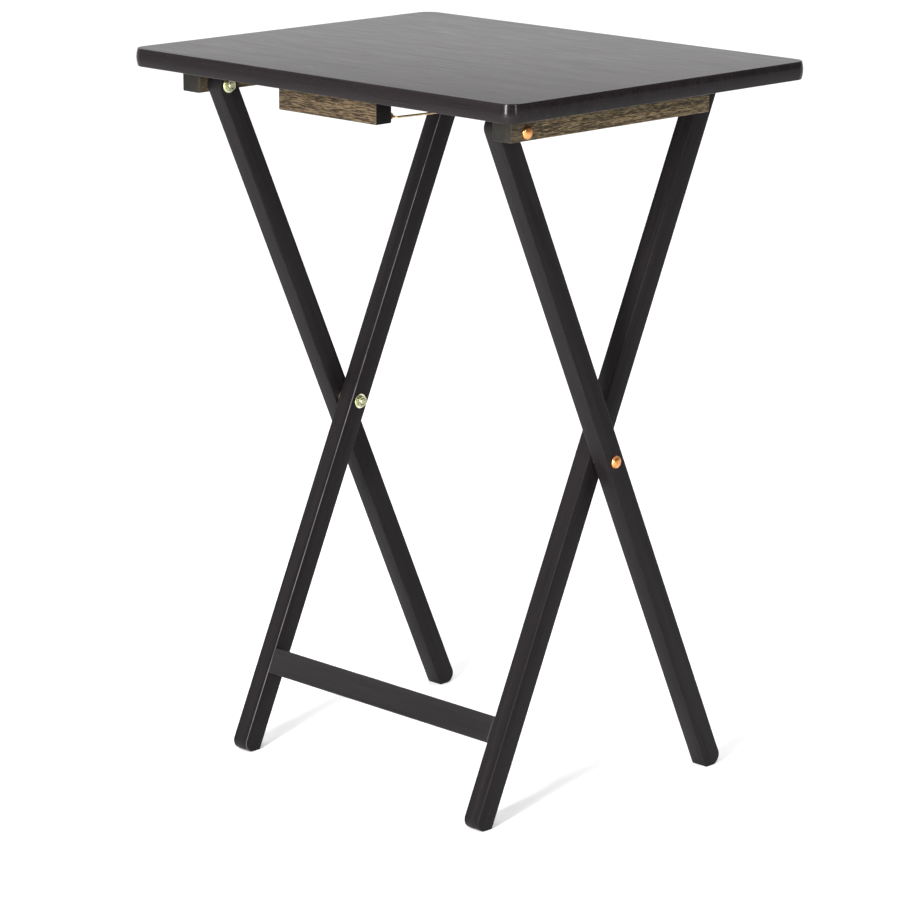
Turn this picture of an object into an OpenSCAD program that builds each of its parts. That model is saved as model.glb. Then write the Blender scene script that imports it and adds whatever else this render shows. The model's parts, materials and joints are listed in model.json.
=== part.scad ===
// Folding tray table: a flat board on two crossed leg frames.
// Millimetres, +Z up. X runs along the long edge of the board, Y from the front
// edge to the back edge. The origin is on the floor, under the board's centre.

/* [Board] */
// board length along X
board_l = 482.6; // [460:1:500]
// board depth along Y
board_w = 381; // [372:1:400]
// height of the upper surface above the floor
table_h = 660.4; // [640:1:680]
// board thickness
board_t = 16.4; // [14:0.2:18]
// radius of the board's corners in plan
corner_r = 16; // [8:1:40]

/* [Legs] */
// leg thickness along X
leg_t = 18; // [17:0.5:19]
// leg width across its length, seen from the side
leg_w = 20.5; // [18:0.5:20.5]
// outer face of the outer legs, from the middle of the table
leg_x = 184.5; // [180:0.5:188]
// slope of the legs: sideways run over height
slope = 0.45; // [0.44:0.005:0.47]
// gap between an outer and an inner leg, filled by a washer
leg_gap = 4.2; // [3:0.1:5]
// height of the crossing above the floor
cross_z = 316; // [308:1:322]
// position of the crossing along Y
cross_y = 4; // [0.5:0.5:8]
// radius of the rounded toe on each foot
toe_r = 9; // [4:0.5:9]

/* [Cleats] */
// cleat thickness along X
cleat_t = 22; // [16:0.5:24]
// cleat height
cleat_h = 23; // [22:0.5:30]
// front end of the cleats along Y
cleat_front = -156; // [-162:1:-151]
// back end of the cleats along Y
cleat_back = 94; // [90:1:120]
// depth of the upper bolt below the board's underside
bolt_drop = 15.5; // [15:0.1:16.5]

/* [Bars] */
// height of the stretcher, measured along the legs
bar_h = 24.4; // [18:0.2:32]
// thickness of the stretcher
bar_t = 12; // [8:0.5:16]
// height of the stretcher above the floor, where the legs' middle line crosses it
bar_z = 80.5; // [75:0.5:110]
// radius of the round crossbar that carries the back of the board
rod_r = 11; // [10.5:0.1:11]
// radius of the crossbar's tenons
tenon_r = 6; // [4:0.5:7]
// length of each tenon
tenon_l = 12; // [8:0.5:15]

/* [Latch] */
// length of the latch block along X
block_l = 124; // [112:1:126]
// depth of the latch block along Y
block_w = 18.5; // [14:0.5:20]
// height of the latch block
block_h = 22.5; // [22:0.5:23.5]
// back face of the latch block along Y
block_y = -152.5; // [-153:0.5:-150]
// radius of the latch wire
wire_r = 1; // [0.8:0.1:1.3]

/* [Hardware] */
// radius of the bolt shanks
bolt_r = 3; // [2.5:0.25:3.5]
// radius of the domed bolt heads
head_r = 6; // [5.5:0.25:7]
// height of the domed bolt heads
head_h = 3; // [2.5:0.25:3.5]
// width of the nuts across the flats
nut_af = 10; // [9:0.5:10]
// height of the nuts
nut_h = 3; // [2.5:0.5:5]
// outer radius of the washers
washer_r = 6.9; // [6.5:0.1:6.9]
// thickness of the washers under the nuts
washer_t = 1; // [0.8:0.1:1.2]

/* [Hidden] */
$fn = 64;
slack = 0.05;          // side play between pieces that are fixed together
run = 0.1;             // side play of a turning fit
tip = atan(slope);     // angle of a leg from the vertical
under_z = table_h - board_t;
top_z = under_z - bolt_drop;
top_y = cross_y - slope * (top_z - cross_z);
rod_z = under_z - 0.3 - rod_r;
rod_y = cross_y + slope * (rod_z - cross_z);
outer_i = leg_x - leg_t;
inner_o = outer_i - leg_gap;
inner_i = inner_o - leg_t;
cleat_gap = 1;
cleat_i = leg_x + cleat_gap;
cleat_o = cleat_i + cleat_t;
wire_x = block_l / 2 + 2.5;   // the arms pass outside the block's ends
eye_r = 3;
eye_w = 2.4;
eye_x = wire_x - 8;
pivot_y = block_y + 4;
pivot_z = under_z - 17.4;
hook_y = rod_y + rod_r + wire_r + 1;
hook_z = rod_z - rod_r - wire_r - 1.1;
hook_top = hook_z + 11;
head_gap = 0.3;
bolt_out = 0.5;        // how far the bolts stand out of their nuts
screw_r = 1.8;
screw_head_r = 3.6;
screw_bite = 10;
cleat_screw_y = [-100, -5, 80];
block_screw_x = [-34, 34];

// ---------- helpers ----------

// a round bar along X between two positions
module xrod(x0, x1, y, z, r) {
  translate([x0, y, z])
    rotate([0, 90, 0])
      cylinder(h = x1 - x0, r = r);
}

// a round bar along Z between two heights
module zrod(x, y, z0, z1, r) {
  translate([x, y, z0])
    cylinder(h = z1 - z0, r = r);
}

// a flat shape in the side view, given thickness along X
module side(x0, t) {
  translate([x0, 0, 0])
    rotate([90, 0, 90])
      linear_extrude(height = t)
        children();
}

// a pair of the same thing on the right and on the left
module both() {
  children();
  mirror([1, 0, 0])
    children();
}

// one straight length of wire in the side plane, with round ends
module wire_run(x, y0, z0, y1, z1) {
  len = sqrt(pow(y1 - y0, 2) + pow(z1 - z0, 2));
  translate([x, y0, z0])
    rotate([-atan2(y1 - y0, z1 - z0), 0, 0])
      cylinder(h = len, r = wire_r);
}

// rounded bends of the wire
module wire_bend(x, y, z) {
  translate([x, y, z])
    sphere(r = wire_r);
}

// the plain leg on the right side. It goes up to (ty, tz) and its foot is on
// the floor; dir is 1 when the foot is at the back, -1 when it is at the front
module leg(x0, ty, tz, dir) {
  half = leg_w / 2;
  fy = ty + dir * slope * tz;
  hw = half / cos(tip);
  toe_y = fy + dir * hw;
  corner = 90 - tip;
  tl = toe_r / tan(corner / 2);
  union() {
    difference() {
      side(x0, leg_t)
        polygon([[ty - half * cos(tip), tz - dir * half * sin(tip)],
                 [ty + half * cos(tip), tz + dir * half * sin(tip)],
                 [fy + hw, 0],
                 [fy - hw, 0]]);
      // the toe's sharp corner
      translate([-1, 0, 0])
        side(x0, leg_t + 2)
          polygon([[toe_y + dir * 1, -1],
                   [toe_y - dir * tl, -1],
                   [toe_y - dir * tl, 0],
                   [toe_y - dir * tl, toe_r],
                   [toe_y - dir * tl * sin(tip), tl * cos(tip)],
                   [toe_y - dir * (tl * sin(tip) - 2), tl * cos(tip)]]);
    }
    xrod(x0, x0 + leg_t, toe_y - dir * tl, toe_r, toe_r);
    xrod(x0, x0 + leg_t, ty, tz, half);
  }
}

// ---------- the board and what is fixed under it ----------

module board_plan() {
  dx = board_l / 2 - corner_r;
  dy = board_w / 2 - corner_r;
  union() {
    translate([-dx, -board_w / 2, 0])
      cube([2 * dx, board_w, board_t]);
    translate([-board_l / 2, -dy, 0])
      cube([board_l, 2 * dy, board_t]);
    for (sx = [-1, 1])
      for (sy = [-1, 1])
        translate([sx * dx, sy * dy, 0])
          cylinder(h = board_t, r = corner_r);
  }
}

module board() {
  color([0.09, 0.08, 0.08])
  difference() {
    translate([0, 0, under_z])
      board_plan();
    for (sx = [-1, 1])
      for (y = cleat_screw_y)
        zrod(sx * (cleat_i + cleat_t / 2), y, under_z - 1, under_z + screw_bite + 0.3, screw_r + slack);
    for (x = block_screw_x)
      zrod(x, block_y - block_w / 2, under_z - 1, under_z + screw_bite + 0.3, screw_r + slack);
  }
}

module cleat() {
  difference() {
    translate([cleat_i, cleat_front, under_z - cleat_h])
      cube([cleat_t, cleat_back - cleat_front, cleat_h]);
    xrod(cleat_i - 1, cleat_o + 1, top_y, top_z, bolt_r + run);
    for (y = cleat_screw_y) {
      zrod(cleat_i + cleat_t / 2, y, under_z - cleat_h - 1, under_z + 1, screw_r + slack);
      zrod(cleat_i + cleat_t / 2, y, under_z - cleat_h - 1, under_z - cleat_h + 3, screw_head_r + slack);
    }
  }
}

module cleat_right() {
  color([0.36, 0.27, 0.17])
    cleat();
}

module cleat_left() {
  color([0.36, 0.27, 0.17])
    mirror([1, 0, 0])
      cleat();
}

// a wood screw driven upward, its head level just inside z0
module screw(x, y, z0) {
  union() {
    zrod(x, y, z0 + 0.5, z0 + 2.9, screw_head_r);
    zrod(x, y, z0 + 2, under_z + screw_bite, screw_r);
  }
}

module cleat_screws() {
  color([0.55, 0.5, 0.4])
    for (sx = [-1, 1])
      for (y = cleat_screw_y)
        screw(sx * (cleat_i + cleat_t / 2), y, under_z - cleat_h);
}

module latch_block() {
  color([0.55, 0.42, 0.28])
  difference() {
    translate([-block_l / 2, block_y - block_w, under_z - block_h])
      cube([block_l, block_w, block_h]);
    for (x = block_screw_x) {
      zrod(x, block_y - block_w / 2, under_z - block_h - 1, under_z + 1, screw_r + slack);
      zrod(x, block_y - block_w / 2, under_z - block_h - 1, under_z - block_h + 3, screw_head_r + slack);
    }
    for (sx = [-1, 1])
      translate([sx * eye_x, block_y - 9, pivot_z])
        rotate([-90, 0, 0])
          cylinder(h = 10, r = 1 + slack);
  }
}

module block_screws() {
  color([0.55, 0.5, 0.4])
    for (x = block_screw_x)
      screw(x, block_y - block_w / 2, under_z - block_h);
}

// a screw eye on the block's back face
module eye() {
  difference() {
    union() {
      xrod(eye_x - eye_w / 2, eye_x + eye_w / 2, pivot_y, pivot_z, eye_r);
      translate([eye_x, block_y - 8.7, pivot_z])
        rotate([-90, 0, 0])
          cylinder(h = 10.3, r = 1);
    }
    xrod(eye_x - eye_w, eye_x + eye_w, pivot_y, pivot_z, wire_r + run);
  }
}

module latch_eyes() {
  color([0.72, 0.6, 0.3])
    both()
      eye();
}

// the wire: one end turned in through each eye, two long arms, and a
// turned-up cross run that catches behind the crossbar
module latch_wire() {
  color([0.78, 0.6, 0.28])
    union() {
      both() {
        xrod(eye_x - 5, wire_x, pivot_y, pivot_z, wire_r);
        wire_bend(wire_x, pivot_y, pivot_z);
        wire_run(wire_x, pivot_y, pivot_z, hook_y, hook_z);
        wire_bend(wire_x, hook_y, hook_z);
        wire_run(wire_x, hook_y, hook_z, hook_y, hook_top);
        wire_bend(wire_x, hook_y, hook_top);
      }
      xrod(-wire_x, wire_x, hook_y, hook_top, wire_r);
    }
}

// ---------- outer frame ----------

module outer_leg() {
  difference() {
    leg(outer_i, top_y, top_z, 1);
    xrod(outer_i - 1, leg_x + 1, top_y, top_z, bolt_r + slack);
    xrod(outer_i - 1, leg_x + 1, cross_y, cross_z, bolt_r + slack);
  }
}

module outer_leg_right() {
  color([0.08, 0.07, 0.07])
    outer_leg();
}

module outer_leg_left() {
  color([0.08, 0.07, 0.07])
    mirror([1, 0, 0])
      outer_leg();
}

// ---------- inner frame ----------

// places its children on the leg's own line, u along the leg, v across it
module on_inner(z) {
  translate([0, cross_y - slope * (cross_z - z), z])
    rotate([-tip, 0, 0])
      children();
}

module dowel_pair(x0, x1, r) {
  on_inner(bar_z)
    for (u = [-6, 6])
      translate([x0, -leg_w / 2 + bar_t / 2, u])
        rotate([0, 90, 0])
          cylinder(h = x1 - x0, r = r);
}

module inner_leg() {
  difference() {
    leg(inner_i, rod_y, rod_z, -1);
    xrod(inner_i - 1, inner_o + 1, cross_y, cross_z, bolt_r + run);
    xrod(inner_i - 1, inner_i + tenon_l + 0.3, rod_y, rod_z, tenon_r + slack);
    dowel_pair(inner_i - 1, inner_i + 10.3, 3 + slack);
  }
}

module inner_leg_right() {
  color([0.08, 0.07, 0.07])
    inner_leg();
}

module inner_leg_left() {
  color([0.08, 0.07, 0.07])
    mirror([1, 0, 0])
      inner_leg();
}

module stretcher() {
  color([0.08, 0.07, 0.07])
  difference() {
    on_inner(bar_z)
      translate([-inner_i, -leg_w / 2, -bar_h / 2])
        cube([2 * inner_i, bar_t, bar_h]);
    both()
      dowel_pair(inner_i - 15.3, inner_i + 1, 3 + slack);
  }
}

module stretcher_dowels() {
  color([0.7, 0.56, 0.38])
    both()
      dowel_pair(inner_i - 15, inner_i + 10, 3);
}

module crossbar() {
  color([0.08, 0.07, 0.07])
    union() {
      xrod(-inner_i, inner_i, rod_y, rod_z, rod_r);
      xrod(-inner_i - tenon_l, inner_i + tenon_l, rod_y, rod_z, tenon_r);
    }
}

// ---------- bolts, washers, nuts ----------

// a bolt along X whose domed head sits outside x_head, and whose shank
// ends at x_end
module bolt(x_head, x_end, y, z) {
  dome = (head_r * head_r + head_h * head_h) / (2 * head_h);
  half_arc = asin(head_r / dome);
  arc = [for (i = [0:12]) dome * [sin(half_arc * (1 - i / 12)), cos(half_arc * (1 - i / 12))]];
  translate([x_head, y, z])
    rotate([0, 90, 0])
      rotate_extrude()
        polygon(concat([[0, x_end - x_head], [bolt_r, x_end - x_head], [bolt_r, 0]],
                       [for (p = arc) [max(0, p[0]), p[1] + head_h - dome]]));
}

module ring(x0, t, y, z) {
  difference() {
    xrod(x0, x0 + t, y, z, washer_r);
    xrod(x0 - 1, x0 + t + 1, y, z, bolt_r + 0.2);
  }
}

module nut(x0, y, z) {
  difference() {
    translate([x0, y, z])
      rotate([0, 90, 0])
        cylinder(h = nut_h, r = nut_af / 2 / cos(30), $fn = 6);
    xrod(x0 - 1, x0 + nut_h + 1, y, z, bolt_r + slack);
  }
}

module top_bolts() {
  color([0.72, 0.45, 0.25])
    both()
      bolt(cleat_o + head_gap, outer_i - washer_t - nut_h - bolt_out, top_y, top_z);
}

module top_spacers() {
  color([0.7, 0.68, 0.5])
    both()
      ring(leg_x, cleat_gap - 0.3, top_y, top_z);
}

module top_washers() {
  color([0.7, 0.68, 0.5])
    both()
      ring(outer_i - washer_t, washer_t, top_y, top_z);
}

module top_nuts() {
  color([0.7, 0.68, 0.5])
    both()
      nut(outer_i - washer_t - nut_h, top_y, top_z);
}

module cross_bolts() {
  color([0.72, 0.45, 0.25])
    both()
      bolt(leg_x, inner_i - 0.3 - washer_t - nut_h - bolt_out, cross_y, cross_z);
}

module cross_spacers() {
  color([0.7, 0.68, 0.5])
    both()
      ring(outer_i - leg_gap + 0.3, leg_gap - 0.3, cross_y, cross_z);
}

module cross_washers() {
  color([0.7, 0.68, 0.5])
    both()
      ring(inner_i - 0.3 - washer_t, washer_t, cross_y, cross_z);
}

module cross_nuts() {
  color([0.7, 0.68, 0.5])
    both()
      nut(inner_i - 0.3 - washer_t - nut_h, cross_y, cross_z);
}

board();
cleat_left();
cleat_right();
cleat_screws();
latch_block();
block_screws();
latch_eyes();
latch_wire();
outer_leg_left();
outer_leg_right();
inner_leg_left();
inner_leg_right();
stretcher();
stretcher_dowels();
crossbar();
top_bolts();
top_spacers();
top_washers();
top_nuts();
cross_bolts();
cross_spacers();
cross_washers();
cross_nuts();
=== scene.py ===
import json
import math
import bmesh
import bpy
from mathutils import Matrix, Vector, geometry


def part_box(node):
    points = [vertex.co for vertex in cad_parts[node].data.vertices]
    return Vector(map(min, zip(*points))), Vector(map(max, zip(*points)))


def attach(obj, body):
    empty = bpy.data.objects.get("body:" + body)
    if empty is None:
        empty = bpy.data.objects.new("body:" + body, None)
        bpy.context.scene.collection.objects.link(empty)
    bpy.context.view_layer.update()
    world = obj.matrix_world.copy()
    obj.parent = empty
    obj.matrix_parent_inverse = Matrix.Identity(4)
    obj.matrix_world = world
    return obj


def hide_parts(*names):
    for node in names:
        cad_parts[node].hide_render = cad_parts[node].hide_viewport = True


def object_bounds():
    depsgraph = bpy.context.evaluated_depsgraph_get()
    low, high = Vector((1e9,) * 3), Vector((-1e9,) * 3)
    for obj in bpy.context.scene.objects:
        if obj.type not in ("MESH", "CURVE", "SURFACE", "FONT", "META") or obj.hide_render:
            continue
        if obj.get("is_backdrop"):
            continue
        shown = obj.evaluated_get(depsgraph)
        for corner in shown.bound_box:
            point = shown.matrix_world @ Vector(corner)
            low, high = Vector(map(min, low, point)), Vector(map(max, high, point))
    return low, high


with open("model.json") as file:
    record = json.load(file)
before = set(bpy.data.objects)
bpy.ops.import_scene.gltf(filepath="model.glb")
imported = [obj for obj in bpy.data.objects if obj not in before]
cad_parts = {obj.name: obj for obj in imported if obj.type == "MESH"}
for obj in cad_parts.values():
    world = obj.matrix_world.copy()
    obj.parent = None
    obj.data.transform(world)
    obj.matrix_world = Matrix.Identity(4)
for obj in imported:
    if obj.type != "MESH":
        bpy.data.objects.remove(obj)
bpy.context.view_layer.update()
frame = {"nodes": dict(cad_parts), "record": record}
RECORD = frame["record"]
JOINTS = {j["name"]: j for j in RECORD["behaviour"]["joints"]}
BODY_OF = {n: b for b, ns in RECORD["behaviour"]["bodies"].items() for n in ns}
BACK = JOINTS["board_turn"]["pos_m"]
CROSS = JOINTS["fold"]["pos_m"]
SLOPE = (CROSS[1] - BACK[1]) / (BACK[2] - CROSS[2])
TILT = math.atan(SLOPE)


# ---------- node graphs ----------

def new_mat(name):
    m = bpy.data.materials.new(name)
    m.use_nodes = True
    nt = m.node_tree
    nt.nodes.clear()
    out = nt.nodes.new("ShaderNodeOutputMaterial")
    bsdf = nt.nodes.new("ShaderNodeBsdfPrincipled")
    nt.links.new(bsdf.outputs[0], out.inputs[0])
    return m, nt, bsdf


def coords(nt, scale, rot=(0, 0, 0)):
    """The piece's own coordinates, turned so the grain runs along X, then stretched."""
    tc = nt.nodes.new("ShaderNodeTexCoord")
    turn = nt.nodes.new("ShaderNodeMapping")
    turn.inputs["Rotation"].default_value = rot
    nt.links.new(tc.outputs["Object"], turn.inputs["Vector"])
    mp = nt.nodes.new("ShaderNodeMapping")
    mp.inputs["Scale"].default_value = scale
    nt.links.new(turn.outputs[0], mp.inputs["Vector"])
    return mp.outputs[0]


def position(nt, axis):
    """The piece's own coordinate along one axis, in metres."""
    tc = nt.nodes.new("ShaderNodeTexCoord")
    sep = nt.nodes.new("ShaderNodeSeparateXYZ")
    nt.links.new(tc.outputs["Object"], sep.inputs[0])
    return sep.outputs[axis]


def noise(nt, vec, scale=1.0, detail=4.0, rough=0.55, distort=0.0):
    n = nt.nodes.new("ShaderNodeTexNoise")
    n.inputs["Scale"].default_value = scale
    n.inputs["Detail"].default_value = detail
    n.inputs["Roughness"].default_value = rough
    n.inputs["Distortion"].default_value = distort
    nt.links.new(vec, n.inputs["Vector"])
    return n.outputs["Fac"]


def ramp(nt, fac, stops):
    """Colours at (position, colour) stops."""
    r = nt.nodes.new("ShaderNodeValToRGB")
    el = r.color_ramp.elements
    while len(el) < len(stops):
        el.new(0.5)
    for e, (pos, col) in zip(el, stops):
        e.position = pos
        e.color = (*col, 1) if len(col) == 3 else col
    nt.links.new(fac, r.inputs[0])
    return r.outputs[0]


def mix(nt, fac, a, b):
    m = nt.nodes.new("ShaderNodeMix")
    m.data_type = "RGBA"
    m.blend_type = "MIX"
    for sock, val in ((m.inputs[0], fac), (m.inputs[6], a), (m.inputs[7], b)):
        if hasattr(val, "is_output"):
            nt.links.new(val, sock)
        else:
            sock.default_value = val if isinstance(val, float) else (*val, 1)
    return m.outputs[2]


def span(nt, fac, lo, hi, a=0.3, b=0.7):
    """Maps fac from a..b to lo..hi, clamped."""
    m = nt.nodes.new("ShaderNodeMapRange")
    m.inputs["From Min"].default_value = a
    m.inputs["From Max"].default_value = b
    m.inputs["To Min"].default_value = lo
    m.inputs["To Max"].default_value = hi
    nt.links.new(fac, m.inputs[0])
    return m.outputs[0]


def times(nt, a, b):
    m = nt.nodes.new("ShaderNodeMath")
    m.operation = "MULTIPLY"
    m.use_clamp = True
    for sock, val in ((m.inputs[0], a), (m.inputs[1], b)):
        if hasattr(val, "is_output"):
            nt.links.new(val, sock)
        else:
            sock.default_value = val
    return m.outputs[0]


def bump(nt, bsdf, height, strength, dist):
    """Raises the surface by height, times dist in metres."""
    b = nt.nodes.new("ShaderNodeBump")
    b.inputs["Strength"].default_value = strength
    b.inputs["Distance"].default_value = dist
    nt.links.new(height, b.inputs["Height"])
    nt.links.new(b.outputs[0], bsdf.inputs["Normal"])


def wear_mask(nt, amount):
    """Worn patches along the rounded edges."""
    a = nt.nodes.new("ShaderNodeAttribute")
    a.attribute_name = "wear"
    patch = noise(nt, coords(nt, (60, 60, 60)), 1.0, 3.0)
    return times(nt, times(nt, a.outputs["Fac"], span(nt, patch, 0.0, 1.0, 0.42, 0.62)), amount)


END_STAIN = (0.014, 0.012, 0.010)
# painted shadow colour for the cleat's upper edge, where the board shades it
UNDER_BOARD_SHADOW_PAINT = (0.012, 0.010, 0.008)
PORE_SHADE = 0.35
COAT_ROUGH = 0.28
GRAIN_DEPTH = 0.0004
PORE_SCALE = (14, 700, 700)
DASH_SCALE = (120, 1500, 1500)
MOTTLE_SCALE = (22, 70, 70)


def wood(name, dark, light, rough, rot=(0, 0, 0), coat=0.0, streak=1.0, grain_bump=0.25,
         worn=None, wear=0.5, spec=0.25, gloss_play=0.08, pore_mix=0.55, fade_at=None,
         fleck=0.0, tint=None, mottle=None, painted_shadow_top=None, painted_ridge_highlight=None, painted_sheen_fade_from=None):
    """Stained wood: streaks, pores and blotches along the grain, worn edges, uneven gloss;
    optionally a painted shadow along the upper edge, a painted highlight on an arris and a painted
    fading of the sheen.
    """
    m, nt, bsdf = new_mat(name)
    broad = noise(nt, coords(nt, (3, 90 * streak, 90 * streak), rot), 1.0, 5.0, 0.6, 0.6)
    fine = noise(nt, coords(nt, PORE_SCALE, rot), 1.0, 3.0, 0.6)
    blotch = noise(nt, coords(nt, (5, 9, 9), rot), 1.0, 2.0)
    middle = tuple((d + l) / 2 for d, l in zip(dark, light))
    if fleck:
        # short dashes, dark and light, laid over the broad streaks
        dash = noise(nt, coords(nt, DASH_SCALE, rot), 1.0, 2.5, 0.7, 0.3)
        figure = mix(nt, fleck, broad, dash)
        darkest = tuple(d * 0.5 for d in dark)
        base = ramp(nt, figure, [(0.42, darkest), (0.47, dark), (0.51, middle), (0.56, light)])
    else:
        base = ramp(nt, broad, [(0.3, dark), (0.5, middle), (0.72, light)])
    base = mix(nt, span(nt, blotch, 0.0, 0.35), base, dark)
    pore = span(nt, fine, 0.0, 1.0, 0.56, 0.7)
    base = mix(nt, times(nt, pore, pore_mix), base, tuple(c * PORE_SHADE for c in dark))
    if fade_at is not None:
        # dark stain that runs a little way in from the front end
        near = span(nt, position(nt, 1), 1.0, 0.0, fade_at + 0.006, fade_at + 0.042)
        ragged = span(nt, broad, 0.55, 1.0)
        base = mix(nt, times(nt, times(nt, near, ragged), 0.85), base, END_STAIN)
    if painted_shadow_top is not None:
        # painted shadow: darker along the upper edge, where the board above shades it
        upper = span(nt, position(nt, 2), 0.0, 1.0, painted_shadow_top - 0.013, painted_shadow_top - 0.001)
        base = mix(nt, times(nt, upper, 0.8), base, UNDER_BOARD_SHADOW_PAINT)
    if mottle:
        patch = noise(nt, coords(nt, MOTTLE_SCALE, rot), 1.0, 5.0, 0.65, 0.8)
        base = mix(nt, span(nt, patch, 0.0, 0.8, 0.48, 0.68), base, mottle)
    if worn:
        base = mix(nt, wear_mask(nt, wear), base, worn)
    if painted_ridge_highlight:
        # painted highlight: the arris is made lighter, standing in for a lamp's glint along it
        edge = nt.nodes.new("ShaderNodeAttribute")
        edge.attribute_name = "painted_ridge_highlight"
        broken = span(nt, noise(nt, coords(nt, (40, 40, 40)), 1.0, 3.0), 0.45, 1.0, 0.38, 0.6)
        base = mix(nt, times(nt, edge.outputs["Fac"], broken), base, painted_ridge_highlight)
    nt.links.new(base, bsdf.inputs["Base Color"])
    uneven = mix(nt, 0.5, fine, patch if mottle else broad)
    r = span(nt, uneven, rough - gloss_play, rough + gloss_play, 0.38, 0.62)
    nt.links.new(r, bsdf.inputs["Roughness"])
    bsdf.inputs["Specular IOR Level"].default_value = spec
    if painted_sheen_fade_from is not None:
        # painted reflection: the specular level falls toward the front edge, so the top's sheen is
        # painted weaker there
        level = span(nt, position(nt, 1), spec * 0.50, spec, painted_sheen_fade_from, painted_sheen_fade_from + 0.26)
        level = times(nt, level, span(nt, patch, 0.68, 1.0, 0.38, 0.6))
        nt.links.new(level, bsdf.inputs["Specular IOR Level"])
    if tint:
        bsdf.inputs["Specular Tint"].default_value = (*tint, 1)
    bsdf.inputs["Coat Weight"].default_value = coat
    bsdf.inputs["Coat Roughness"].default_value = COAT_ROUGH
    bump(nt, bsdf, mix(nt, 0.5, fine, broad), grain_bump, GRAIN_DEPTH)
    return m


SCRATCH = 0.2
SCRATCH_DEPTH = 0.00008


def metal(name, a, b, rough, c=None):
    """Clouded metal with fine scratches."""
    m, nt, bsdf = new_mat(name)
    cloud = noise(nt, coords(nt, (220, 220, 220)), 1.0, 3.0)
    line = noise(nt, coords(nt, (2600, 350, 350)), 1.0, 2.0)
    stops = [(0.35, a), (0.62, b)] if c is None else [(0.32, a), (0.5, b), (0.66, c)]
    nt.links.new(ramp(nt, cloud, stops), bsdf.inputs["Base Color"])
    bsdf.inputs["Metallic"].default_value = 1.0
    nt.links.new(span(nt, line, rough - 0.07, rough + 0.12), bsdf.inputs["Roughness"])
    bump(nt, bsdf, line, SCRATCH, SCRATCH_DEPTH)
    return m


BLACK = (0.0048, 0.0036, 0.0042)
BLACK_2 = (0.0105, 0.0080, 0.0088)
STAIN = (0.0064, 0.0053, 0.0060)
STAIN_2 = (0.0125, 0.0107, 0.0117)
WORN = (0.045, 0.028, 0.020)
ALONG_Y = (0, 0, math.radians(90))


def leg_turn(sign):
    """Mapping rotation that lays a leg's length along the texture's X."""
    along = Vector((0, -sign * math.sin(TILT), math.cos(TILT)))
    across = Vector((1, 0, 0))
    third = along.cross(across)
    return Matrix((along, across, third)).to_euler()


BOARD_FRONT, BOARD_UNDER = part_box("board")[0][1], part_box("board")[0][2]
CLEAT_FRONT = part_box("cleat_right")[0][1]
# the top's sheen is painted weaker toward the front edge
M_TOP = wood("espresso_top", BLACK, (0.016, 0.0125, 0.0135), 0.36, grain_bump=0.16, coat=0.10,
             spec=0.54, worn=WORN, wear=0.10, gloss_play=0.06, streak=0.45, tint=(0.99, 0.955, 1.0),
             mottle=(0.027, 0.0155, 0.0175), painted_sheen_fade_from=BOARD_FRONT)
M_EDGE = wood("espresso_edge", BLACK, BLACK_2, 0.18, grain_bump=0.06, worn=WORN, wear=0.08,
              spec=0.12, gloss_play=0.03)
M_UNDER = wood("espresso_underside", STAIN, STAIN_2, 0.55, streak=0.45, worn=WORN, wear=0.10,
               spec=0.12)
M_X = wood("espresso_along_x", STAIN, STAIN_2, 0.42, worn=WORN, wear=0.10, spec=0.15)
M_OUT = wood("espresso_outer_leg", STAIN, STAIN_2, 0.42, rot=leg_turn(1), worn=WORN, wear=0.10,
             spec=0.06)
# the inner legs get a painted highlight line on their forward inner arris
M_IN = wood("espresso_inner_leg", STAIN, STAIN_2, 0.42, rot=leg_turn(-1), worn=WORN, wear=0.10,
            spec=0.06, painted_ridge_highlight=(0.085, 0.078, 0.078))
# the cleat's upper edge gets a painted shadow from the board above
M_CLEAT = wood("olive_brown_cleat", (0.034, 0.025, 0.013), (0.185, 0.136, 0.074), 0.6, rot=ALONG_Y,
               grain_bump=0.6, worn=(0.05, 0.035, 0.024), wear=0.3, pore_mix=0.6, streak=2.0,
               spec=0.12, fade_at=CLEAT_FRONT, fleck=0.7, painted_shadow_top=BOARD_UNDER)
M_CLEAT_END = wood("cleat_end_grain", (0.008, 0.0072, 0.006), (0.020, 0.018, 0.0145), 0.6,
                   rot=ALONG_Y, grain_bump=0.5, spec=0.10)
M_BLOCK = wood("tan_block", (0.018, 0.0125, 0.007), (0.105, 0.073, 0.041), 0.6, streak=2.0,
               grain_bump=0.6, worn=(0.05, 0.033, 0.02), wear=0.3, pore_mix=0.6, spec=0.10,
               fleck=0.7)
M_BLOCK_END = wood("block_dark_faces", (0.0028, 0.0025, 0.0025), (0.0065, 0.006, 0.0055), 0.5,
                   spec=0.05)
M_DOWEL = wood("beech_dowel", (0.36, 0.24, 0.13), (0.52, 0.37, 0.22), 0.6)
M_COPPER = metal("copper_brass", (0.50, 0.18, 0.055), (0.74, 0.34, 0.12), 0.20)
M_WIRE = metal("brass_wire", (0.34, 0.23, 0.11), (0.50, 0.36, 0.19), 0.34)
M_ZINC = metal("yellow_zinc", (0.28, 0.28, 0.17), (0.44, 0.44, 0.28), 0.30, (0.36, 0.32, 0.23))
M_WASHER = metal("bright_washer", (0.70, 0.74, 0.46), (0.86, 0.90, 0.62), 0.30)


# ---------- mesh helpers ----------

def finish_mesh(name, bm, mats, body, node, smooth_angle=35):
    """Makes the piece that stands for a CAD node, on the body it moves with."""
    bmesh.ops.recalc_face_normals(bm, faces=bm.faces)
    me = bpy.data.meshes.new(name)
    bm.to_mesh(me)
    bm.free()
    for m in mats:
        me.materials.append(m)
    o = bpy.data.objects.new(name, me)
    bpy.context.scene.collection.objects.link(o)
    for p in me.polygons:
        p.use_smooth = True
    me.set_sharp_from_angle(angle=math.radians(smooth_angle))
    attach(o, body)
    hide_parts(node)
    return o


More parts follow.
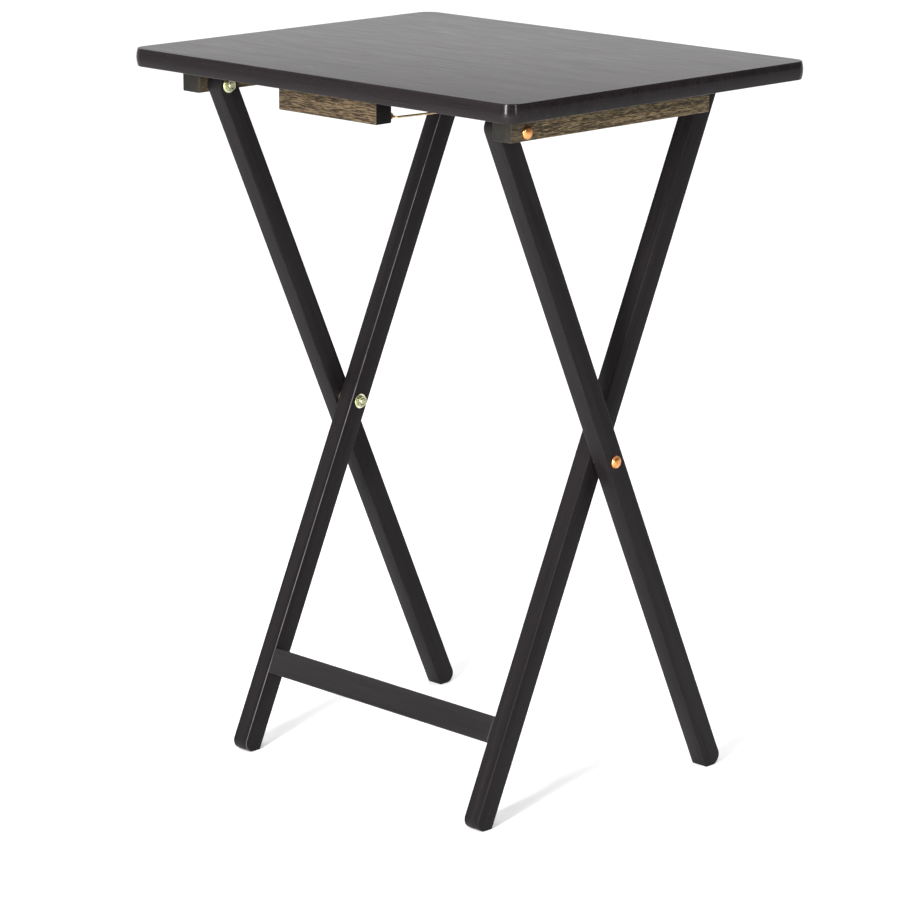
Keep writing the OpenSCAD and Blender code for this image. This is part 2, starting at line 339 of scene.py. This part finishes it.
def right_side_span(node):
    """From where to where the node's right-hand solid reaches along X."""
    xs = [v.co[0] for v in frame["nodes"][node].data.vertices if v.co[0] > 0]
    return min(xs), max(xs)


SAME_POINT = 2e-5
STRAIGHT = 1e-3


def outline(node, i, j):
    """Convex outline of a CAD node seen along the third axis, as (i, j) pairs."""
    ob = frame["nodes"][node]
    pts = [Vector((v.co[i], v.co[j])) for v in ob.data.vertices]
    hull = geometry.convex_hull_2d(pts)
    ring = [pts[k] for k in hull]
    clean = []
    for p in ring:
        if not clean or (p - clean[-1]).length > SAME_POINT:
            clean.append(p)
    if (clean[0] - clean[-1]).length < SAME_POINT:
        clean.pop()
    out = []
    n = len(clean)
    for k in range(n):
        a, b, c = clean[k - 1], clean[k], clean[(k + 1) % n]
        if abs((b - a).normalized().cross((c - b).normalized())) > STRAIGHT:
            out.append(b)
    return out


def prism(node, edge):
    """A prism along X with the CAD node's outline and length, its edges rounded."""
    lo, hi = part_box(node)
    bm = bmesh.new()
    ring = outline(node, 1, 2)
    low = [bm.verts.new((lo[0], p[0], p[1])) for p in ring]
    high = [bm.verts.new((hi[0], p[0], p[1])) for p in ring]
    bm.faces.new(low[::-1])
    bm.faces.new(high)
    n = len(ring)
    for k in range(n):
        bm.faces.new((low[k], low[(k + 1) % n], high[(k + 1) % n], high[k]))
    bmesh.ops.recalc_face_normals(bm, faces=bm.faces)
    sharp = [e for e in bm.edges if e.calc_face_angle(0) > math.radians(28)]
    done = bmesh.ops.bevel(bm, geom=sharp, offset=edge, offset_type="OFFSET", segments=4,
                           profile=0.5, affect="EDGES", clamp_overlap=True)
    strip = set(done["faces"])
    layer = bm.verts.layers.float.new("wear")
    for v in bm.verts:
        v[layer] = 1.0 if all(f in strip for f in v.link_faces) else 0.0
    return bm


ON_AXIS = 1e-6


def lathe(bm, profile, origin, axis=0, sides=48, flip=1):
    """Turns (height, radius) pairs about a line through origin along an axis."""
    o = Vector(origin)
    i, j = [k for k in (0, 1, 2) if k != axis]
    rings = []
    for h, r in profile:
        if r < ON_AXIS:
            v = [0, 0, 0]
            v[axis] = flip * h
            rings.append([bm.verts.new(o + Vector(v))])
            continue
        ring = []
        for s in range(sides):
            a = 2 * math.pi * s / sides
            v = [0, 0, 0]
            v[axis] = flip * h
            v[i] = r * math.cos(a)
            v[j] = r * math.sin(a)
            ring.append(bm.verts.new(o + Vector(v)))
        rings.append(ring)
    for a, b in zip(rings, rings[1:]):
        for s in range(sides):
            t = (s + 1) % sides
            if len(a) == 1 and len(b) > 1:
                bm.faces.new((a[0], b[s], b[t]))
            elif len(b) == 1 and len(a) > 1:
                bm.faces.new((a[s], a[t], b[0]))
            elif len(a) > 1:
                bm.faces.new((a[s], a[t], b[t], b[s]))


def tube(bm, pts, r, sides, close=False):
    """A round tube along points, with flat ends or closed on itself."""
    P = [Vector(p) for p in pts]
    n = len(P)
    rings = []
    up = None
    for k in range(n):
        if close:
            t = (P[(k + 1) % n] - P[k - 1]).normalized()
        else:
            t = (P[min(k + 1, n - 1)] - P[max(k - 1, 0)]).normalized()
        if up is None:
            up = t.orthogonal().normalized()
        up = (up - t * up.dot(t)).normalized()
        side = t.cross(up)
        ring = []
        for s in range(sides):
            a = 2 * math.pi * s / sides
            ring.append(bm.verts.new(P[k] + up * (r * math.cos(a)) + side * (r * math.sin(a))))
        rings.append(ring)
    pairs = list(zip(rings, rings[1:])) + ([(rings[-1], rings[0])] if close else [])
    for a, b in pairs:
        for s in range(sides):
            t = (s + 1) % sides
            bm.faces.new((a[s], a[t], b[t], b[s]))
    if not close:
        bm.faces.new(rings[0][::-1])
        bm.faces.new(rings[-1])


def fillet(pts, radius, steps):
    """Rounds the corners of a line of points."""
    P = [Vector(p) for p in pts]
    out = [P[0]]
    for a, b, c in zip(P, P[1:], P[2:]):
        u, v = (a - b).normalized(), (c - b).normalized()
        ang = u.angle(v)
        cut = min(radius / math.tan(ang / 2), (a - b).length * 0.45, (c - b).length * 0.45)
        r = cut * math.tan(ang / 2)
        mid = b + (u + v).normalized() * (r / math.sin(ang / 2))
        s, e = (b + u * cut - mid).normalized(), (b + v * cut - mid).normalized()
        for k in range(steps + 1):
            out.append(mid + s.slerp(e, k / steps) * r)
    out.append(P[-1])
    return out


# ---------- the wooden pieces ----------

BOARD_CROWN = 0.0014
BOARD_ARRIS = 0.0009
ARRIS_STEPS = 5
BOW_STEPS = 14
CORNER_STEPS = 16
QUARTER = math.radians(90)


def crowned_board(node, crown, arris):
    """The board: its edge bows outward by crown, and its arrises are lightly rounded."""
    lo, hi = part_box(node)
    verts = [v.co for v in frame["nodes"][node].data.vertices]
    radius = hi[1] - max(v[1] for v in verts if v[0] > hi[0] - 1e-6)
    half_t = (hi[2] - lo[2]) / 2
    mid_z = (hi[2] + lo[2]) / 2
    bow = (half_t ** 2 + crown ** 2) / (2 * crown)

    def inset(z):
        return bow - math.sqrt(bow * bow - z * z)
    # rows of (height, how far in from the outline, wear), from the bottom up
    turn = half_t - arris
    profile = []
    for k in range(ARRIS_STEPS + 1):
        a = QUARTER * k / ARRIS_STEPS
        profile.append((-turn - arris * math.cos(a), inset(turn) + arris * (1 - math.sin(a)), 1.0))
    lower_arris = profile[:]
    for k in range(1, BOW_STEPS):
        z = -turn + 2 * turn * k / BOW_STEPS
        profile.append((z, inset(z), 0.0))
    profile += [(-z, d, w) for z, d, w in reversed(lower_arris)]
    bm = bmesh.new()
    layer = bm.verts.layers.float.new("wear")
    rings = []
    for z, d, w in profile:
        ring = []
        for q, (sx, sy) in enumerate(((1, 1), (-1, 1), (-1, -1), (1, -1))):
            cx, cy = sx * (hi[0] - radius), sy * (hi[1] - radius)
            for k in range(CORNER_STEPS + 1):
                a = QUARTER * (q + k / CORNER_STEPS)
                v = bm.verts.new((cx + (radius - d) * math.cos(a),
                                  cy + (radius - d) * math.sin(a), mid_z + z))
                v[layer] = w
                ring.append(v)
        rings.append(ring)
    n = len(rings[0])
    for low, high in zip(rings, rings[1:]):
        for k in range(n):
            m = (k + 1) % n
            bm.faces.new((low[k], low[m], high[m], high[k])).material_index = 1
    bm.faces.new(rings[0][::-1]).material_index = 2
    bm.faces.new(rings[-1])
    return bm


finish_mesh("table_board", crowned_board("board", BOARD_CROWN, BOARD_ARRIS),
            [M_TOP, M_EDGE, M_UNDER], "tabletop", "board")

LEG_ARRIS = 0.0010
BAR_ARRIS = 0.0014
ROD_CHAMFER = 0.0012
BLOCK_ARRIS = 0.0012
FACING = 0.25
END_ON = 0.7

# the arris of each leg that faces forward and inward is marked, for the painted highlight line on
# the inner legs
for side in ("left", "right"):
    for kind, mat in (("outer", M_OUT), ("inner", M_IN)):
        node = f"{kind}_leg_{side}"
        bm = prism(node, LEG_ARRIS)
        bm.normal_update()
        highlit_ridge = bm.faces.layers.float.new("painted_ridge_highlight")
        inward = 1 if side == "left" else -1
        for f in bm.faces:
            f[highlit_ridge] = 1.0 if f.normal.y < -FACING and f.normal.x * inward > FACING else 0.0
        finish_mesh(f"{kind}_leg_wood_{side}", bm, [mat], BODY_OF[node], node)

finish_mesh("stretcher_bar", prism("stretcher", BAR_ARRIS), [M_X], "inner_frame", "stretcher")

# the crossbar shows from one inner leg to the other; its tenons are hidden in them
lo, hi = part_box("crossbar")
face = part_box("inner_leg_right")[0][0]
r_rod = (hi[2] - lo[2]) / 2
mid = ((lo[0] + hi[0]) / 2, (lo[1] + hi[1]) / 2, (lo[2] + hi[2]) / 2)
bm = bmesh.new()
rod_half = [(face - ROD_CHAMFER, r_rod), (face, r_rod - ROD_CHAMFER), (face, 0)]
lathe(bm, [(-h, r) for h, r in reversed(rod_half)] + rod_half, mid, 0, 56)
bm.verts.layers.float.new("wear")
finish_mesh("rear_crossbar", bm, [M_X], "inner_frame", "crossbar")


RECESS = [(-0.001, 0), (-0.001, 0.0044), (0.0008, 0.0038), (0.003, 0.0037), (0.003, 0)]
HEAD_DEPTH = 0.004
ONE_SCREW = 0.009
CLEAT_REACH = 0.02
BLOCK_REACH = 0.1


def cut_recesses(o, node, screw_node, x_mid, half):
    """Countersinks under a wooden piece, where its screws' heads sit."""
    ob = frame["nodes"][screw_node]
    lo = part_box(node)[0]
    spots = []
    for v in ob.data.vertices:
        if abs(v.co[0] - x_mid) < half and v.co[2] < lo[2] + HEAD_DEPTH:
            for s in spots:
                if (Vector((v.co[0], v.co[1])) - s[0]).length < ONE_SCREW:
                    s[1].append(v.co.copy())
                    break
            else:
                spots.append((Vector((v.co[0], v.co[1])), [v.co.copy()]))
    bm = bmesh.new()
    for _, vs in spots:
        cx = (min(v[0] for v in vs) + max(v[0] for v in vs)) / 2
        cy = (min(v[1] for v in vs) + max(v[1] for v in vs)) / 2
        lathe(bm, RECESS, (cx, cy, lo[2]), 2, 32)
    bmesh.ops.recalc_face_normals(bm, faces=bm.faces)
    me = bpy.data.meshes.new("cutter")
    bm.to_mesh(me)
    bm.free()
    cutter = bpy.data.objects.new("cutter", me)
    bpy.context.scene.collection.objects.link(cutter)
    mod = o.modifiers.new("cut", "BOOLEAN")
    mod.object = cutter
    mod.operation = "DIFFERENCE"
    mod.solver = "EXACT"
    dg = bpy.context.evaluated_depsgraph_get()
    done = bpy.data.meshes.new_from_object(o.evaluated_get(dg))
    o.modifiers.clear()
    o.data = done
    bpy.data.objects.remove(cutter)


for side in ("left", "right"):
    node = f"cleat_{side}"
    bm = prism(node, BLOCK_ARRIS)
    for f in bm.faces:
        if abs(f.normal[1]) > END_ON:
            f.material_index = 1
    o = finish_mesh(f"cleat_{side}_wood", bm, [M_CLEAT, M_CLEAT_END], "tabletop", node)
    lo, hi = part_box(node)
    cut_recesses(o, node, "cleat_screws", (lo[0] + hi[0]) / 2, CLEAT_REACH)

# only the block's front is bare wood
bm = prism("latch_block", BLOCK_ARRIS)
for f in bm.faces:
    if f.normal[1] > -END_ON:
        f.material_index = 1
o = finish_mesh("latch_block_wood", bm, [M_BLOCK, M_BLOCK_END], "tabletop", "latch_block")
cut_recesses(o, "latch_block", "block_screws", 0.0, BLOCK_REACH)


# ---------- hardware ----------

SHANK_R = 0.003
HEAD_H = 0.003
HEAD_RIM = 0.0006
RIM_EASE = 0.0001
SHANK_EASE = 0.0004
THREAD_PITCH = 0.001
THREAD_PAST_NUT = 0.004
DOME_STEPS = 14
RING_BORE = 0.0032
RING_EASE = 0.00025
NUT_BORE = 0.00305
NUT_MOUTH = 0.0035
NUT_MOUTH_DEPTH = 0.0005
NUT_SIDES = 72
SIDES = {1: "right", -1: "left"}


def centre(node):
    """(y, z) of the middle of a node's box."""
    lo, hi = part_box(node)
    return (lo[1] + hi[1]) / 2, (lo[2] + hi[2]) / 2


def bolt_pair(name, node, body, nut_node):
    """Domed heads with a small rim, plain shanks and a cut thread where the nut sits."""
    lo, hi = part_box(node)
    y, z = centre(node)
    r_head = (hi[2] - lo[2]) / 2
    seat = hi[0] - HEAD_H
    x_end = right_side_span(node)[0]
    x_nut = right_side_span(nut_node)[1]
    prof = [(x_end, 0), (x_end, SHANK_R - 0.0005), (x_end + SHANK_EASE, SHANK_R - 0.0002)]
    x = x_end + SHANK_EASE
    while x + THREAD_PITCH < x_nut + THREAD_PAST_NUT:
        prof += [(x + 0.25 * THREAD_PITCH, SHANK_R - 0.0004),
                 (x + 0.75 * THREAD_PITCH, SHANK_R - 0.00002)]
        x += THREAD_PITCH
    prof += [(x + 0.0005, SHANK_R), (seat, SHANK_R), (seat, r_head - 0.0004),
             (seat + 0.0002, r_head - RIM_EASE), (seat + HEAD_RIM, r_head - RIM_EASE)]
    for k in range(1, DOME_STEPS + 1):
        a = QUARTER * k / DOME_STEPS
        prof.append((seat + HEAD_RIM + (HEAD_H - HEAD_RIM) * math.sin(a),
                     (r_head - 0.0003) * math.cos(a)))
    for s in SIDES:
        bm = bmesh.new()
        lathe(bm, prof, (0, y, z), 0, 40, s)
        for f in bm.faces:
            if s * f.calc_center_median().x < seat - RIM_EASE:
                f.material_index = 1
        finish_mesh(f"{name}_{SIDES[s]}", bm, [M_COPPER, M_ZINC], body, node, 40)


def ring_pair(name, node, body):
    """Flat rings with eased edges."""
    lo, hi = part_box(node)
    y, z = centre(node)
    a, b = right_side_span(node)
    ro, ri, e = (hi[2] - lo[2]) / 2, RING_BORE, min(RING_EASE, (b - a) / 4)
    prof = [(a, ri + e), (a, ro - e), (a + e, ro), (b - e, ro), (b, ro - e), (b, ri + e),
            (b - e, ri), (a + e, ri), (a, ri + e)]
    for s in SIDES:
        bm = bmesh.new()
        lathe(bm, prof, (0, y, z), 0, 48, s)
        bmesh.ops.remove_doubles(bm, verts=bm.verts, dist=1e-7)
        finish_mesh(f"{name}_{SIDES[s]}", bm, [M_WASHER], body, node)


def nut_pair(name, node, body):
    """Hexagon nuts with turned corners and a chamfered bore."""
    lo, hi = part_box(node)
    y, z = centre(node)
    a, b = right_side_span(node)
    half_flat = (hi[1] - lo[1]) / 2
    n = NUT_SIDES
    for s in SIDES:
        bm = bmesh.new()
        rows = [[] for _ in range(7)]
        for k in range(n):
            t = 2 * math.pi * k / n
            local = (t + math.pi / 6) % (math.pi / 3) - math.pi / 6
            full = half_flat / math.cos(local)
            turned = min(full, half_flat * 0.985)
            drop = (full - turned) * 0.55
            spec = [(a, NUT_MOUTH), (a, turned), (a + drop, full), (b - drop, full), (b, turned),
                    (b, NUT_MOUTH), (b - NUT_MOUTH_DEPTH, NUT_BORE)]
            for row, (x, r) in zip(rows, spec):
                row.append(bm.verts.new((s * x, y + r * math.cos(t), z + r * math.sin(t))))
        inner = []
        for k in range(n):
            t = 2 * math.pi * k / n
            inner.append(bm.verts.new((s * (a + NUT_MOUTH_DEPTH), y + NUT_BORE * math.cos(t),
                                       z + NUT_BORE * math.sin(t))))
        rows += [inner, rows[0]]
        for p, q in zip(rows, rows[1:]):
            for k in range(n):
                m = (k + 1) % n
                bm.faces.new((p[k], p[m], q[m], q[k]))
        finish_mesh(f"{name}_{SIDES[s]}", bm, [M_ZINC], body, node, 25)


bolt_pair("top_bolt", "top_bolts", "outer_frame", "top_nuts")
bolt_pair("cross_bolt", "cross_bolts", "outer_frame", "cross_nuts")
for name in ("top_spacer", "top_washer", "cross_spacer", "cross_washer"):
    ring_pair(name + "_ring", name + "s", "outer_frame")
nut_pair("top_nut", "top_nuts", "outer_frame")
nut_pair("cross_nut", "cross_nuts", "outer_frame")

# ---------- wire latch ----------

WIRE_BEND = 0.0026
WIRE_EASE = 0.00001
EYE_GAP = 0.0001
EYE_SHANK_R = 0.00098
EYE_IN_BLOCK = 0.004
lo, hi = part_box("latch_wire")
pivot = JOINTS["latch_swing"]["pos_m"]
r = pivot[1] - lo[1]
arm_x, hook_y = hi[0] - r, hi[1] - r
low_z, high_z = lo[2] + r, hi[2] - r
end_x = min(v.co[0] for v in frame["nodes"]["latch_wire"].data.vertices
            if v.co[0] > 0.001 and v.co[1] < pivot[1] + 0.0001)
half_path = [(end_x, pivot[1], pivot[2]), (arm_x, pivot[1], pivot[2]), (arm_x, hook_y, low_z),
             (arm_x, hook_y, high_z)]
path = half_path + [(-x, y, z) for x, y, z in reversed(half_path)]
bm = bmesh.new()
tube(bm, fillet(path, WIRE_BEND, 7), r - WIRE_EASE, 16)
finish_mesh("latch_wire_bent", bm, [M_WIRE], "latch", "latch_wire", 50)

eye_lo, eye_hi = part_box("latch_eyes")
in_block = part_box("latch_block")[1][1] - EYE_IN_BLOCK
r_out = eye_hi[1] - pivot[1]
r_eye = (r_out - r - EYE_GAP) / 2
xe = [abs(v.co[0]) for v in frame["nodes"]["latch_eyes"].data.vertices]
eye_x = (min(xe) + max(xe)) / 2
for s in SIDES:
    bm = bmesh.new()
    ring = [(s * eye_x, pivot[1] + (r_out - r_eye) * math.cos(2 * math.pi * k / 32),
             pivot[2] + (r_out - r_eye) * math.sin(2 * math.pi * k / 32)) for k in range(32)]
    tube(bm, ring, r_eye, 12, True)
    tube(bm, [(s * eye_x, y, pivot[2]) for y in (pivot[1] - r_out + r_eye, in_block, eye_lo[1])],
         EYE_SHANK_R, 12)
    finish_mesh(f"latch_eye_{SIDES[s]}", bm, [M_WIRE], "tabletop", "latch_eyes", 50)

# CAD nodes that stay as they are
for node, mat in (("cleat_screws", M_ZINC), ("block_screws", M_ZINC),
                  ("stretcher_dowels", M_DOWEL)):
    data = frame["nodes"][node].data
    if not data.materials:
        data.materials.append(mat)
    for k in range(len(data.materials)):
        frame["nodes"][node].material_slots[k].material = mat

# ---------- floor, light, camera ----------

FLOOR_R = 30
m, nt, bsdf = new_mat("pale_floor")
speck = noise(nt, coords(nt, (3, 3, 3)), 1.0, 3.0)
pale = ramp(nt, speck, [(0.3, (0.93, 0.93, 0.93)), (0.7, (0.95, 0.95, 0.95))])
nt.links.new(pale, bsdf.inputs["Base Color"])
bsdf.inputs["Roughness"].default_value = 0.9
bm = bmesh.new()
bmesh.ops.create_circle(bm, cap_ends=True, radius=FLOOR_R, segments=96)
me = bpy.data.meshes.new("floor")
bm.to_mesh(me)
bm.free()
me.materials.append(m)
floor = bpy.data.objects.new("floor", me)
bpy.context.scene.collection.objects.link(floor)
floor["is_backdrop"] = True

# a soft studio: bright overhead and on the left, dimmer on the right
world = bpy.context.scene.world or bpy.data.worlds.new("world")
bpy.context.scene.world = world
world.use_nodes = True
wt = world.node_tree
bg = wt.nodes.get("Background") or wt.nodes.new("ShaderNodeBackground")
bg.inputs[0].default_value = (1, 1, 1, 1)
where = wt.nodes.new("ShaderNodeTexCoord")
axes = wt.nodes.new("ShaderNodeSeparateXYZ")
wt.links.new(where.outputs["Generated"], axes.inputs[0])
across = span(wt, axes.outputs[0], 1.08, 0.25, -1.0, 1.0)
overhead = span(wt, axes.outputs[2], 0.0, 1.1, 0.45, 1.0)
total = wt.nodes.new("ShaderNodeMath")
total.operation = "ADD"
wt.links.new(across, total.inputs[0])
wt.links.new(overhead, total.inputs[1])
wt.links.new(total.outputs[0], bg.inputs[1])

AIM = Vector((0, 0, 0.35))


def area(name, place, size, power):
    """A soft box that faces the table and that the camera doesn't see."""
    d = bpy.data.lights.new(name, "AREA")
    d.shape = "RECTANGLE"
    d.size, d.size_y = size
    d.energy = power
    o = bpy.data.objects.new(name, d)
    o.location = place
    o.rotation_euler = (AIM - Vector(place)).to_track_quat("-Z", "Y").to_euler()
    o.visible_camera = False
    bpy.context.scene.collection.objects.link(o)


area("key", (0.87, -2.70, 1.10), (0.4, 2.0), 185)
area("rim", (2.76, -0.81, 0.95), (0.16, 1.5), 24)

YAW, PITCH, ROLL = math.radians(45.08), math.radians(-14.08), math.radians(0.15)
CAMERA_AT = (2.2964, -2.3092, 1.1114)
FOCAL_PX = 3650.2
FRAME_PX = 900
SENSOR_MM = 36
cam_data = bpy.data.cameras.new("camera")
cam_data.sensor_width = SENSOR_MM
cam_data.lens = FOCAL_PX / FRAME_PX * SENSOR_MM
cam_data.clip_end = 100
cam = bpy.data.objects.new("camera", cam_data)
cam.location = CAMERA_AT
look = Vector((-math.sin(YAW) * math.cos(PITCH), math.cos(YAW) * math.cos(PITCH),
               math.sin(PITCH)))
level = look.cross(Vector((0, 0, 1))).normalized()
right = level * math.cos(ROLL) + level.cross(look) * math.sin(ROLL)
cam.rotation_euler = Matrix((right, right.cross(look), -look)).transposed().to_euler()
bpy.context.scene.collection.objects.link(cam)
bpy.context.scene.camera = cam
bpy.context.scene.view_settings.view_transform = "Standard"

lo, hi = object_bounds()
